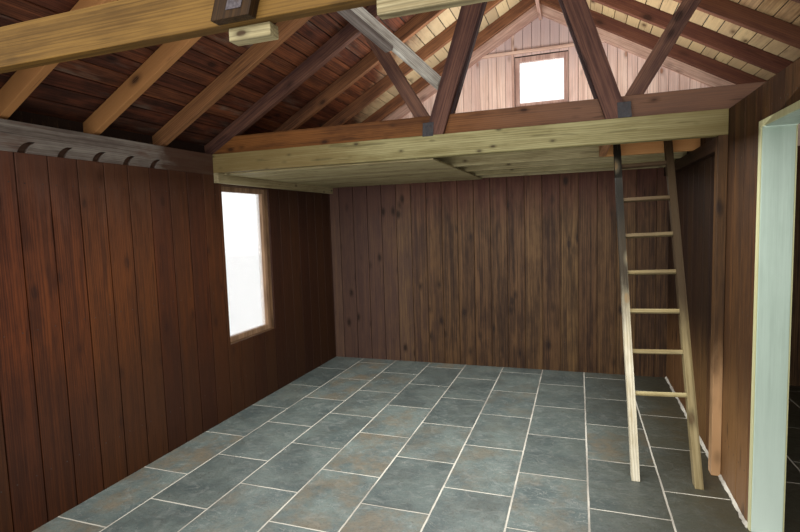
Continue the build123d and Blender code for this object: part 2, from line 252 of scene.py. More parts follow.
def wood(name, pale, dark, knot, worn=None, wear=0.3, variety=0.05, rough=0.6, relief=0.0009,
         lines=0.3, splits=0.5, knots=1.0, cut=None, fades=(), knotty=1.0):
    """Sawn timber. Its pattern runs along each piece, from the grain that is stored on the mesh.

    Colours are as they look on a screen. Variety is how far one timber's tone may be from the next
    one's, knots is how many there are, and knotty is how dark. Cut is the colour where "cut" is stored.
    Each fade is a colour, a direction, where along it the colour starts and is full, and how strong it
    gets. Many of the fades below paint light or shade into the wood.
    """
    finish = Finish(name, Specular_IOR_Level=0.18)
    finish.space = finish.stored("grain", "Vector")
    tone = finish.stored("tone")
    streaks = finish.noise((1.4, 0.05, 0.05), 3.0, 0.55)
    bands = finish.noise((0.8, 0.014, 0.014), 3.0, 0.6)
    blotches = finish.noise((0.28, 0.09, 0.09), 5.0, 0.65)
    fibre = finish.noise((0.2, 0.0035, 0.0035), 3.0, 0.6)
    cells = finish.stretch((0.33 / knots, 0.17 / knots, 0.17 / knots))
    centre = finish.node("ShaderNodeTexVoronoi", {"Vector": cells, "Scale": 1.0}, "Distance")
    near_knot = centre.step(0.32, 0.0)
    bent = finish.stretch((9.0, 1.0, 1.0))
    rings = finish.node("ShaderNodeTexWave", {
        "Vector": bent, "Scale": wave_period / ring_width, "Distortion": near_knot * 10.0 + 4.0,
        "Detail": 2.0, "Detail Scale": 0.03 * wave_period / ring_width}, "Fac",
        wave_type="RINGS", rings_direction="X", wave_profile="SIN")
    late_wood = rings * rings * rings * rings
    cracks = finish.noise((0.45, 0.006, 0.03), 2.0, 0.5).step(0.66, 0.71)
    figure = streaks * 0.8 + bands * 0.7 + blotches * 0.8 + fibre * 0.5 - 0.9
    deep = tuple(v * 0.4 for v in paint(*dark)[:3]) + (1.0,)
    colour = finish.mix(figure.step(0.22, 0.78), dark, pale)
    colour = finish.mix(late_wood * (fibre + 0.3) * (1.6 * lines), colour, deep)
    if worn:
        patches = finish.noise((0.5, 0.12, 0.12), 4.0, 0.65)
        shown = patches.step(0.62 - wear * 0.3, 0.78 - wear * 0.1, 0.0, 0.85)
        colour = finish.mix(shown, colour, worn)
    for tint, direction, start, end, most in fades:
        reached = finish.along(direction) + blotches * 0.6 - 0.3
        colour = finish.mix(reached.step(start, end, 0.0, most), colour, tint)
    colour = finish.mix(cracks * splits, colour, deep)
    colour = finish.mix(centre.step(0.24, 0.1, 0.0, 0.45 * knotty), colour, deep)
    colour = finish.mix(centre.step(0.13, 0.07, 0.0, 0.9 * knotty) * (rings * 0.4 + 0.6), colour, knot)
    if cut:
        colour = finish.mix(finish.stored("cut"), colour, cut)
    colour = finish.brighten(colour, tone * (2 * variety) + (1 - variety), tone * 0.01 + 0.495)
    height = fibre * 0.6 + bands * 0.4 + rings * 0.2 - cracks * splits
    return finish.show(colour, figure.step(0.0, 1.0, rough + 0.1, rough - 0.06), height, relief)


# Solids

def shells(source):
    """The separate closed shells of a bmesh, in order."""
    source.verts.index_update()
    found = []
    seen = set()
    for first in source.verts:
        if first.index in seen:
            continue
        group = {first.index}
        reached = [first]
        while reached:
            for edge in reached.pop().link_edges:
                for vert in edge.verts:
                    if vert.index not in group:
                        group.add(vert.index)
                        reached.append(vert)
        seen |= group
        shell = bmesh.new()
        source.verts.ensure_lookup_table()
        copies = {index: shell.verts.new(source.verts[index].co) for index in sorted(group)}
        faces = {face for index in group for face in source.verts[index].link_faces}
        for face in sorted(faces, key=lambda face: face.index):
            shell.faces.new([copies[vert.index] for vert in face.verts])
        shell.normal_update()
        found.append(shell)
    return found


def whole_faces(shape):
    """Joins a shape's doubled points, and its flat triangles to whole faces."""
    bmesh.ops.remove_doubles(shape, verts=shape.verts, dist=WELD)
    bmesh.ops.dissolve_limit(shape, angle_limit=radians(1), verts=shape.verts, edges=shape.edges)
    shape.faces.index_update()
    return shape


def face_outwards(shape):
    bmesh.ops.recalc_face_normals(shape, faces=shape.faces)


def solids(node):
    """A copy of a CAD node."""
    copy = bmesh.new()
    copy.from_mesh(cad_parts[node].data)
    return whole_faces(copy)


def as_mesh(name, shape):
    mesh = bpy.data.meshes.new(name)
    shape.to_mesh(mesh)
    shape.free()
    return mesh


def in_scene(name, data):
    made = bpy.data.objects.new(name, data)
    bpy.context.scene.collection.objects.link(made)
    return made


def evaluated(made):
    """The shape of an object after its modifiers."""
    mesh = bpy.data.meshes.new_from_object(made.evaluated_get(bpy.context.evaluated_depsgraph_get()))
    shape = bmesh.new()
    shape.from_mesh(mesh)
    bpy.data.meshes.remove(mesh)
    return shape


def bisect(shape, place, direction, **options):
    """Adds edges where a plane crosses a shape."""
    geometry = shape.verts[:] + shape.edges[:] + shape.faces[:]
    return bmesh.ops.bisect_plane(shape, geom=geometry, dist=WELD, plane_co=place, plane_no=direction,
                                  **options)


def cut_off(shape, place, outward):
    """Cuts closed shells at a plane, drops what lies outside it and closes the rest."""
    cut = bisect(shape, place, outward, clear_outer=True)
    edges = [item for item in cut["geom_cut"] if isinstance(item, bmesh.types.BMEdge)]
    bmesh.ops.holes_fill(shape, edges=edges, sides=0)


def slice_across(shell, axis, spacing):
    """Adds edges round a timber every so often, so that it can wander."""
    reach = [vert.co.dot(axis) for vert in shell.verts]
    count = int((max(reach) - min(reach)) / spacing)
    for number in range(1, count + 1):
        at = min(reach) + (max(reach) - min(reach)) * number / (count + 1)
        bisect(shell, axis * at, axis)


def ease_edges(shell, radius):
    """Takes the sharp edges off."""
    sharp = [edge for edge in shell.edges if edge.calc_face_angle(0) > radians(20)]
    bmesh.ops.bevel(shell, geom=sharp, offset=radius, offset_type="OFFSET", segments=2,
                    profile=0.5, affect="EDGES", clamp_overlap=True)


def hold(place):
    """A point, kept inside the object's own box."""
    return Vector(max(low, min(high, value)) for low, value, high in zip(cad_low, place, cad_high))


def unsettle(shell, amount):
    """Moves the surface about by a smooth, small amount."""
    for vert in shell.verts:
        vert.co = hold(vert.co + noise.noise_vector(vert.co / wander_length) * amount)


def mark_grain(shell, axis, chance):
    """Stores each point's place in the log that the timber was cut from, and the timber's own tone."""
    across = axis.cross(Z if abs(axis.z) < 0.9 else Y).normalized()
    through = axis.cross(across)
    centre = middle(shell)
    start = Vector((chance.uniform(0, 60), chance.uniform(-0.07, 0.07), chance.uniform(0.02, 0.12)))
    tone = chance.random()
    grain_layer = shell.verts.layers.float_vector.new("grain")
    tone_layer = shell.verts.layers.float.new("tone")
    for vert in shell.verts:
        out = vert.co - centre
        vert[grain_layer] = start + Vector((out.dot(axis), out.dot(across), out.dot(through)))
        vert[tone_layer] = tone


def middle(shell):
    return sum((vert.co for vert in shell.verts), Vector()) / len(shell.verts)


def longest_edge(shell):
    edge = max(shell.edges, key=lambda edge: edge.calc_length())
    return (edge.verts[1].co - edge.verts[0].co).normalized()


def merged(parts):
    """Several bmeshes as one mesh."""
    whole = bmesh.new()
    for part in parts:
        mesh = as_mesh("part", part)
        whole.from_mesh(mesh)
        bpy.data.meshes.remove(mesh)
    return whole


def dressed(source, seed, radius=arris, amount=wander, spacing=board_segment, axis=None, chosen=None):
    """Timbers with eased edges, a little out of true, with their grain stored."""
    chance = Random(seed)
    parts = [shell for shell in shells(source) if chosen is None or chosen(middle(shell))]
    for shell in parts:
        run = axis or longest_edge(shell)
        slice_across(shell, run, spacing)
        ease_edges(shell, radius)
        unsettle(shell, amount)
        mark_grain(shell, run, chance)
    return merged(parts)


def piece(name, source, material, slot, *nodes):
    """A finished piece of the scene, which stands for these CAD nodes."""
    mesh = as_mesh(name, source)
    mesh.materials.clear()
    mesh.materials.append(material)
    made = in_scene(name, mesh)
    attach(made, "root")
    if nodes:
        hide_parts(*nodes)
    return made


def prism(outline, run):
    """A closed solid: an outline of points, drawn out along a vector."""
    shape = bmesh.new()
    near = [shape.verts.new(point) for point in outline]
    far = [shape.verts.new(Vector(point) + run) for point in outline]
    shape.faces.new(near)
    shape.faces.new(far[::-1])
    for index, corner in enumerate(near):
        shape.faces.new((corner, near[index - 1], far[index - 1], far[index]))
    face_outwards(shape)
    shape.faces.index_update()
    return shape


def marked(shape, tone, lap):
    """A sheet of felt with its tone, and each point's distance up from the sheet's lower edge."""
    tone_layer = shape.verts.layers.float.new("tone")
    lap_layer = shape.verts.layers.float.new("lap")
    for vert in shape.verts:
        vert[tone_layer] = tone
        vert[lap_layer] = lap(vert.co)
    return shape


def bolt_head(centre, radius, height):
    """A bolt's six-sided head on a face that looks towards -Y."""
    shape = bmesh.new()
    turn = Matrix.Rotation(pi / 2, 4, "X")
    bmesh.ops.create_cone(shape, cap_ends=True, segments=6, radius1=radius * 0.9, radius2=radius,
                          depth=height, matrix=Matrix.Translation(centre) @ turn)
    face_outwards(shape)
    return shape


def whole(node, material, slot, label="timber", **finish):
    """A CAD node as it is, dressed."""
    return piece(f"{node}_{label}", dressed(solids(node), node, **finish), material, slot, node)


# Boards

def new_group(name, numbers, lengths):
    """An empty geometry tree, and its inputs' wires: whole numbers, lengths and a material."""
    group = bpy.data.node_groups.new(name, "GeometryNodeTree")
    kinds = dict.fromkeys(numbers, "Int") | dict.fromkeys(lengths, "Float") | {"Material": "Material"}
    for label, kind in kinds.items():
        group.interface.new_socket(label, in_out="INPUT", socket_type="NodeSocket" + kind)
    group.interface.new_socket("Geometry", in_out="OUTPUT", socket_type="NodeSocketGeometry")
    tree = Tree(group)
    entry = group.nodes.new("NodeGroupInput")
    return tree, {label: Wire(tree, entry.outputs[label]) for label in kinds}


def close_group(tree, geometry, material):
    real = tree.node("GeometryNodeRealizeInstances", {"Geometry": geometry})
    finished = tree.node("GeometryNodeSetMaterial", {"Geometry": real, "Material": material})
    tree.join(tree.nodes.nodes.new("NodeGroupOutput").inputs[0], finished)
    return tree.nodes


def grown(group, **values):
    """What a geometry tree makes from these values, as a bmesh."""
    maker = in_scene("maker", bpy.data.meshes.new("maker"))
    modifier = maker.modifiers.new("maker", "NODES")
    modifier.node_group = group
    for item in group.interface.items_tree:
        if item.in_out == "INPUT":
            modifier[item.identifier] = values[item.name]
    result = evaluated(maker)
    maker.modifiers.clear()
    bpy.data.objects.remove(maker)
    return result


def board_row_group():
    """Boards side by side along X, standing up along Z, each with its face somewhere near Y = 0."""
    tree, given = new_group(
        "row of boards", ("Boards", "Seed"), ("Pitch", "Width", "Thickness", "Length", "Play"))
    size = tree.vector(X=given["Width"], Y=given["Thickness"], Z=given["Length"])
    board = tree.node("GeometryNodeMeshCube", {"Size": size})
    middle = tree.vector(X=given["Pitch"] / 2, Y=given["Thickness"] / 2, Z=given["Length"] / 2)
    row = tree.copies(tree.line(given["Boards"], middle, X=given["Pitch"]), board)
    slip = tree.chance(0.0, given["Play"], given["Seed"])
    return close_group(tree, tree.moved(row, Y=slip), given["Material"])


def shared(source, other):
    """What two bmeshes of closed shells have in common."""
    objects = [in_scene("carving", as_mesh("carving", shape)) for shape in (source, other)]
    cut = objects[0].modifiers.new("cut", "BOOLEAN")
    cut.operation = "INTERSECT"
    cut.solver = "EXACT"
    cut.object = objects[1]
    result = evaluated(objects[0])
    for made in objects:
        bpy.data.objects.remove(made)
    return whole_faces(result)


def stood(place, along, inward, up):
    """Moves and turns a flat row, with its X, Y and Z, to a place on the building."""
    return Matrix.Translation(place) @ Matrix((along, inward, up)).transposed().to_4x4()


def fitted(corners, start, along, width):
    """The number of the first board that reaches these corners, and how many boards it takes."""
    reach = [(corner - start).dot(along) for corner in corners]
    first = int(min(reach) // width)
    return first, int(max(reach) // width) + 1 - first


board_rows = board_row_group()


def boards_in(node, label, slot, seed, start, along, up, inward, width, thickness, material,
              play=0.0015, gap=board_gap, cuts=(), **finish):
    """A piece of boards, laid from a start over one face of a CAD node and cut to its outline.

    Each cut is a point and a direction: what lies beyond the point that way is left out.
    """
    corners = [Vector(corner) for corner in product(*zip(*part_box(node)))]
    rise = [(corner - start).dot(up) for corner in corners]
    first, count = fitted(corners, start, along, width)
    origin = start + along * (first * width) + up * (min(rise) - spare)
    row = grown(board_rows, Boards=count, Pitch=width, Width=width - gap, Thickness=thickness,
                Length=max(rise) - min(rise) + 2 * spare, Play=play, Seed=seed, Material=material)
    row.transform(stood(origin, along, inward, up))
    face_outwards(row)
    boards = shared(row, solids(node))
    for place, outward in cuts:
        cut_off(boards, place, outward)
    boards = dressed(boards, f"{node} {seed}", axis=up, **finish)
    return piece(f"{node}_{label}", boards, material, slot, node)


def nail_group():
    """Nail heads in pairs: across a wall along X and up it along Z, on the plane Y = 0."""
    tree, given = new_group(
        "nail heads", ("Across", "Up", "Seed"), ("Pitch", "Rise", "Spread", "Radius", "Depth", "Play"))
    pair = tree.line(2, tree.vector(X=given["Spread"] * -0.5), X=given["Spread"])
    row = tree.copies(tree.line(given["Across"], X=given["Pitch"]), pair)
    places = tree.copies(tree.line(given["Up"], Z=given["Rise"]), row)
    points = tree.node("GeometryNodeRealizeInstances", {"Geometry": places})
    lowest = tree.vector(X=given["Play"] * -1, Z=given["Play"] * -1)
    highest = tree.vector(X=given["Play"], Z=given["Play"])
    slip = tree.node("FunctionNodeRandomValue", {
        0: lowest, 1: highest, "Seed": given["Seed"]}, data_type="FLOAT_VECTOR")
    shaken = tree.node("GeometryNodeSetPosition", {"Geometry": points, "Offset": slip})
    head = tree.node("GeometryNodeMeshCylinder", {
        "Vertices": 8, "Radius": given["Radius"], "Depth": given["Depth"]})
    turned = tree.node("GeometryNodeTransform", {"Geometry": head, "Rotation": (pi / 2, 0, 0)})
    return close_group(tree, tree.copies(shaken, turned), given["Material"])


nail_rows = nail_group()


def nails_on(boards, name, seed, start, along, up, inward, width, rise, rows, spread=0.55,
             radius=nail_radius, slot="wall_boards"):
    """Nail heads over finished boards. Those that would hang over an opening are left out."""
    corners = [Vector(corner) for corner in boards.bound_box]
    first, count = fitted(corners, start, along, width)
    heads = grown(nail_rows, Across=count, Up=rows, Pitch=width, Rise=rise, Spread=width * spread,
                  Radius=radius, Depth=nail_height, Play=nail_play, Seed=seed, Material=nail_steel)
    heads.transform(stood(start + along * ((first + 0.5) * width), along, inward, up))
    face_outwards(heads)
    mesh = boards.data
    surface = BVHTree.FromPolygons([vert.co for vert in mesh.vertices],
                                   [face.vertices for face in mesh.polygons])
    kept = []
    for head in shells(heads):
        distance = surface.ray_cast(middle(head) - inward * nail_search, inward)[3]
        if distance is not None and abs(distance - nail_search) < nail_reach:
            move = inward * (distance - nail_search - nail_proud)
            bmesh.ops.translate(head, verts=head.verts, vec=move)
            kept.append(head)
        else:
            head.free()
    heads.free()
    return piece(name, merged(kept), nail_steel, slot)


def studwork(node, axis, low_side, high_side, slot="wall_boards"):
    """A CAD wall made thinner by its boards, at its two faces along an axis."""
    core = solids(node)
    lowest = min(vert.co[axis] for vert in core.verts)
    highest = max(vert.co[axis] for vert in core.verts)
    for vert in core.verts:
        if vert.co[axis] < lowest + WELD:
            vert.co[axis] += low_side
        elif vert.co[axis] > highest - WELD:
            vert.co[axis] -= high_side
    core = dressed(core, node, amount=0.0, spacing=9.0, axis=Z)
    piece(node + "_studwork", core, core_wood, slot, node)


# Finishes of this stable

# Painted light and shade on the wall boards: the first fade is a painted sheen near the top, and the
# third is painted shade in the back corner by the window. The second darkens the boards further from
# the open end, and the last darkens them towards the floor.
wall_wood = wood(
    "old wall boards", (110, 57, 24), (66, 31, 12), (32, 15, 9), variety=0.18, rough=0.55, lines=0.4,
    knotty=0.55,
    fades=[((112, 80, 67), Z, 1.6, 2.2, 0.75), ((54, 30, 14), Y, -1.9, -0.3, 0.7),
           ((38, 24, 17), Y, -0.1, 0.9, 0.6), ((46, 25, 12), Z, 1.4, 0.5, 0.65)])
back_wood = wood(
    "back wall boards", (98, 71, 43), (53, 36, 24), (32, 20, 14), variety=0.16, lines=0.4, splits=0.7,
    fades=[((88, 48, 38), Z, 1.5, 2.2, 0.7), ((84, 62, 56), X, -0.9, -2.0, 0.6)])
# The boards over the loft are the same as those below the deck; their pale pink is painted window
# light. The fade darkens them towards the top.
loft_wood = wood(
    "loft gable boards", (244, 215, 199), (216, 182, 165), (160, 112, 84), variety=0.06, lines=0.2,
    splits=0.2, knots=1.3,
    fades=[((182, 160, 156), Z, 2.95, 3.5, 0.85)])
# Painted shade darkens the partition beyond the post, and painted light makes it paler towards the
# floor.
partition_wood = wood(
    "partition boards", (80, 51, 26), (49, 30, 16), (36, 22, 14), variety=0.14,
    fades=[((30, 19, 13), Y, -0.2, 0.25, 0.7), ((128, 92, 56), Z, 0.95, 0.25, 0.75)])
# Painted light makes the post paler towards the floor.
post_wood = wood(
    "header post", (84, 56, 31), (54, 36, 21), (38, 24, 16), variety=0.04,
    fades=[((196, 152, 110), Z, 0.95, 0.3, 0.85)])
outside_wood = wood(
    "weathered cladding", (118, 98, 80), (76, 61, 51), (42, 32, 27), worn=(128, 121, 112), wear=0.5,
    variety=0.18, rough=0.75, splits=0.8)
# The fade paints shade on the studwork above the wall tops, among the rafters.
core_wood = wood(
    "studwork", (112, 84, 56), (74, 54, 38), (50, 34, 24), variety=0.1,
    fades=[((44, 32, 26), Z, 2.14, 2.24, 1.0)])
plate_wood = wood(
    "grey wall plate", (150, 142, 132), (102, 90, 83), (56, 42, 36), worn=(100, 68, 56), lines=0.2,
    cut=(70, 44, 31),
    fades=[((74, 47, 34), Y, -0.62, -0.42, 0.9)])
honey_pine = wood(
    "honey pine", (128, 96, 42), (94, 68, 28), (58, 36, 20), variety=0.06, lines=0.22, knots=1.3)
strut_pine = wood("olive pine", (67, 45, 16), (40, 25, 9), (34, 21, 10), variety=0.06)
# The fade paints a greyish-purple glare on the tie beam, growing towards the right.
orange_pine = wood(
    "orange pine", (134, 84, 42), (90, 54, 28), (48, 26, 16), variety=0.06, knots=1.5,
    fades=[((112, 85, 72), X, -0.7, 0.5, 0.65)])
hatch_pine = wood("hatch joist", (192, 141, 100), (150, 108, 76), (72, 42, 24), variety=0.08)
truss_wood = wood("red-brown truss timber", (118, 82, 65), (76, 51, 45), (38, 23, 18), variety=0.1)
backing_wood = wood("dark truss timber", (72, 52, 48), (44, 32, 31), (28, 18, 16), variety=0.06)
header_pine = wood(
    "header pine", (170, 160, 114), (130, 118, 76), (60, 43, 28), rough=0.55, lines=0.3, knots=2.1,
    fades=[((106, 88, 50), X, 0.3, 1.4, 0.85), ((122, 98, 60), X, -0.6, -1.9, 0.7)])
new_pine = wood(
    "new pine", (188, 175, 134), (142, 127, 90), (70, 49, 32), variety=0.13, rough=0.55, lines=0.4,
    knots=2.0, cut=(204, 143, 86))
# The fades paint shade on the rafters of the right slope and light on those towards the open end.
rafter_wood = wood(
    "rafters", (138, 93, 62), (88, 56, 40), (44, 26, 19), variety=0.15,
    fades=[((84, 48, 40), X, 0.1, 0.7, 0.6), ((176, 124, 74), Y, -0.2, -1.3, 0.85)])
# The rafters and rails by the gable are pale pink from painted window light, as on the gable boards;
# the fade paints shade on them low down near the eaves.
gable_rafter_wood = wood(
    "gable rafters and rails", (214, 180, 162), (168, 132, 118), (112, 76, 58), lines=0.15, splits=0.3,
    fades=[((92, 60, 42), Z, 2.55, 2.3, 1.0)])
# The first fade paints window light on the planks high up towards the gable, and the second paints
# shade low down at the eaves.
left_roof_wood = wood(
    "left roof boards", (116, 66, 42), (62, 34, 23), (36, 20, 14), worn=(112, 96, 84), wear=0.2,
    variety=0.25,
    fades=[((206, 184, 144), Y + Z * 1.5, 5.3, 6.0, 0.85), ((30, 20, 16), Z, 2.5, 2.3, 0.6)])
# The fade paints window light on the planks towards the gable.
right_roof_wood = wood(
    "right roof boards", (166, 132, 92), (124, 92, 62), (66, 42, 28), variety=0.12,
    fades=[((200, 176, 134), Y, 0.2, 1.3, 0.75)])
# The ladder's pale lower end is painted sunlight and its dark upper part painted shade; rails and rungs
# fade from one to the other.
ladder_wood = wood(
    "old ladder", (218, 210, 188), (174, 162, 132), (120, 98, 68), rough=0.7, worn=(150, 130, 92),
    fades=[((40, 31, 19), Z, 0.75, 1.25, 0.98), ((20, 18, 12), Z, 1.3, 1.8, 0.9)])
dark_ladder_wood = wood(
    "old ladder, right rail", (150, 134, 98), (116, 100, 67), (84, 64, 42), rough=0.7,
    worn=(112, 92, 60), wear=0.2,
    fades=[((48, 33, 18), Z, 0.65, 1.15, 0.95)])
rung_wood = wood(
    "old ladder, rungs", (176, 162, 120), (132, 116, 78), (84, 64, 42), variety=0.15, rough=0.7,
    fades=[((62, 44, 29), Z, 0.95, 1.6, 0.9)])
grey_wood = wood("weathered grey board", (226, 222, 210), (140, 130, 118), (84, 74, 64), splits=0.9)
doubler_wood = wood("dark grey board", (134, 124, 116), (92, 82, 77), (54, 44, 40))
# The fade paints light on the lining towards the floor.
white_wood = wood(
    "white painted wood", (176, 192, 177), (164, 180, 165), (152, 166, 152), variety=0.02, rough=0.4,
    relief=0.0004, lines=0.05, splits=0.05, knotty=0.06,
    fades=[((196, 210, 196), Z, 0.9, 0.1, 0.9)])
trim_wood = wood(
    "cream painted trim", (196, 194, 150), (182, 179, 134), (160, 154, 112), variety=0.02, rough=0.4,
    relief=0.0004, lines=0.05, splits=0.05, knotty=0.06)
window_wood = wood("window frames", (150, 118, 92), (106, 80, 60), (70, 48, 34), rough=0.5)


def slate_finish():
    finish = Finish("slate flags", Specular_IOR_Level=0.5)
    tone = finish.stored("tone")
    finish.space = finish.vector_maths("ADD", finish.place, finish.vector(X=tone * 31, Y=tone * 17))
    cloud = finish.noise([0.28] * 3, 6.0, 0.62)
    riven = finish.noise((0.11, 0.08, 0.08), 6.0, 0.62, 1.4)
    vein = finish.noise((0.17, 0.13, 0.13), 4.0, 0.55, 2.5)
    veins = (vein - 0.5).maths("ABSOLUTE").step(0.022, 0.0)
    grit = finish.noise([0.012] * 3, 4.0, 0.65)
    rust = finish.noise((0.2, 0.24, 0.24), 6.0, 0.7)
    colour = finish.mix(cloud.step(0.3, 0.7), (84, 95, 93), (113, 124, 118))
    colour = finish.mix(riven.step(0.5, 0.7, 0.0, 0.35), colour, (150, 153, 146))
    vein_colour = finish.mix(rust.step(0.4, 0.6), (150, 151, 142), (84, 86, 80))
    colour = finish.mix(veins * grit.step(0.35, 0.6), colour, vein_colour)
    rusty = tone.step(0.45, 0.95, 0.1, 0.95)
    colour = finish.mix(rust.step(0.42, 0.66, 0.0, 0.75) * rusty, colour, (124, 110, 88))
    colour = finish.mix(grit.step(0.48, 0.72, 0.0, 0.5), colour, (66, 72, 72))
    reached = finish.along(X) + cloud * 0.8 - 0.4
    colour = finish.mix(reached.step(0.1, 1.2, 0.0, 0.93), colour, (61, 57, 41))
    colour = finish.brighten(colour, tone * 0.36 + 0.82)
    height = riven * 0.8 + grit * 0.25 - veins * 0.15
    return finish.show(colour, riven.step(0.3, 0.7, 0.32, 0.55), height, 0.004)


def grout_finish():
    finish = Finish("grout", Specular_IOR_Level=0.2)
    sand = finish.noise([0.004] * 3, 4.0)
    stain = finish.noise([0.3] * 3, 4.0)
    colour = finish.mix(stain.step(0.4, 0.7), (212, 207, 192), (160, 154, 142))
    return finish.show(colour, sand.step(0.2, 0.8, 0.75, 0.95), sand, 0.001)


def steel_finish(name, bright, dull, rust, metallic=0.0):
    finish = Finish(name, Metallic=metallic)
    spots = finish.noise([0.01] * 3, 4.0, 0.6)
    bloom = finish.noise([0.03] * 3, 4.0, 0.6)
    colour = finish.mix(spots.step(0.35, 0.65), bright, dull)
    colour = finish.mix(bloom.step(0.5, 0.65, 0.0, 0.8), colour, rust)
    return finish.show(colour, spots.step(0.2, 0.8, 0.4, 0.65), spots, 0.0003)


grout = grout_finish()
nail_steel = steel_finish("nail heads", (70, 62, 56), (46, 38, 34), (66, 40, 28), 0.3)
dark_steel = steel_finish("dark steel", (38, 31, 33), (26, 21, 23), (48, 31, 26))
grey_steel = steel_finish("grey steel", (84, 74, 76), (58, 48, 50), (60, 42, 34))


def felt_finish():
    """Mineral felt, dirty along each sheet's lower edge, with a painted shadow line at the lap."""
    finish = Finish("roofing felt", Specular_IOR_Level=0.25)
    tone = finish.stored("tone")
    lap = finish.stored("lap")
    mineral = finish.noise([0.003] * 3, 3.0, 0.7)
    weather = finish.noise((0.5, 0.8, 0.5), 5.0, 0.6)
    moss = finish.noise((0.14, 0.22, 0.14), 6.0, 0.65)
    ripple = finish.noise((0.35, 0.12, 0.35), 2.0, 0.4)
    colour = finish.mix(weather.step(0.3, 0.7), (74, 80, 76), (98, 103, 96))
    colour = finish.mix(mineral.step(0.45, 0.75, 0.0, 0.5), colour, (128, 132, 124))
    colour = finish.mix(moss.step(0.56, 0.72, 0.0, 0.7), colour, (84, 92, 62))
    colour = finish.mix(lap.step(0.16, 0.0, 0.0, 0.45), colour, (58, 62, 54))
    # A dark line along each sheet's lower edge: painted shadow at the lap.
    colour = finish.mix(lap.step(0.024, 0.014), colour, (34, 37, 35))
    colour = finish.brighten(colour, tone * 0.3 + 0.85)
    return finish.show(colour, mineral.step(0.2, 0.8, 0.8, 0.98), mineral * 0.15 + ripple, 0.004)


def glass_finish():
    # The glass glows white: painted daylight from outside.
    finish = Finish("window glass", Roughness=0.03, IOR=1.45, Transmission_Weight=1.0, Alpha=0.5,
                    Emission_Color=(1, 1, 1, 1), Emission_Strength=0.45)
    smear = finish.noise([0.25] * 3, 3.0)
    return finish.show(finish.mix(smear.step(0.3, 0.8), (255, 255, 255), (246, 250, 248)))


def stage_finish(name, colour):
    finish = Finish(name, Roughness=0.9, Specular_IOR_Level=0.1)
    faint = finish.noise([2.0] * 3, 2.0)
    return finish.show(finish.brighten(colour, faint.step(0.0, 1.0, 0.98, 1.02)))


# The building

near_end = cad_low.y
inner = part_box("floor_slab")[1].x
gable_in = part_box("gable_wall")[0].y
gable_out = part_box("gable_wall")[1].y
floor_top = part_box("floor_slab")[1].z


def boarding(node, label, nail_label, seeds, start, along, inward, thickness, material, nails,
             slot="wall_boards", **finish):
    """Boards that stand over one face of a wall, and their nails.

    Seeds are the boards' and the nails'. Nails are how far over the start the lowest ones are, how far
    apart their rows are, and how many rows there are.
    """
    boards = boards_in(node, label, slot, seeds[0], start, along, Z, inward, wall_board, thickness,
                       material, **finish)
    lift, rise, rows = nails
    nails_on(boards, f"{node}_{nail_label}", seeds[1], start + Z * lift, along, Z, inward, wall_board,
             rise, rows)


def side_wall(name, side):
    """A side wall: boards inside, studwork, and cladding outside. Side is -1 on the left."""
    low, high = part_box(name)
    outer = high.x if side > 0 else -low.x
    studwork(name, 0, *(lining_thickness, cladding_thickness)[::side])  # swapped on the left
    boarding(name, "boards", "nails", (1, 21 + side), Vector((side * inner, board_start, floor_top)), Y,
             X * side, lining_thickness, wall_wood, (0.28, 0.78, 3))
    boarding(name, "cladding", "cladding_nails", (2, 24 + side), Vector((side * outer, board_start, 0)),
             Y, X * -side, cladding_thickness, outside_wood, (0.25, 0.62, 4))


def end_wall():
    name = "gable_wall"
    studwork(name, 1, lining_thickness, cladding_thickness)
    level = Vector((0, 0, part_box("loft_deck")[0].z))
    boarding(name, "boards", "nails", (3, 31), Vector((0, gable_in, 0)), X, Y, lining_thickness,
             back_wood, (floor_top + 0.3, 0.76, 3), cuts=[(level, Z)])
    boards_in(name, "loft_boards", "wall_boards", 10, Vector((0, gable_in, 0)), X, Z, Y, match_board,
              lining_thickness, loft_wood, gap=0.003, cuts=[(level, -Z)])
    boarding(name, "cladding", "cladding_nails", (4, 32), Vector((0, gable_out, 0)), X, -Y,
             cladding_thickness, outside_wood, (0.25, 0.62, 6))


def partition(name):
    """Boards on both sides of studwork. Over the doorway there is only one row of nails."""
    low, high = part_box(name)
    lift, rows = (0.25, 3) if high.z - low.z > 1 else (0.06, 1)
    studwork(name, 0, lining_thickness, lining_thickness, "partition_boards")
    for side, face, inward in (("room", low.x, X), ("side", high.x, -X)):
        start = Vector((face, board_start, floor_top))
        boarding(name, side + "_boards", side + "_nails", (5, 33), start, Y, inward, lining_thickness,
                 partition_wood, (low.z + lift - floor_top, 0.8, rows), "partition_boards")


def slope(side):
    """Up a side of the roof, and square out of it. Side is -1 on the left."""
    up = Vector((-side * cos(roof_slope), 0, sin(roof_slope)))
    out = Vector((side * sin(roof_slope), 0, cos(roof_slope)))
    return up, out


def roof_planks(name, side, material):
    """Planks along the roof, from the eaves up."""
    low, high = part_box(name)
    eave = high.x if side > 0 else low.x
    up, out = slope(side)
    boards_in(name, "planks", "roof_boards", 6 + side, Vector((eave, 0, low.z)), up, Y, out,
              roof_plank, roof_plank_thickness, material, play=0.003)


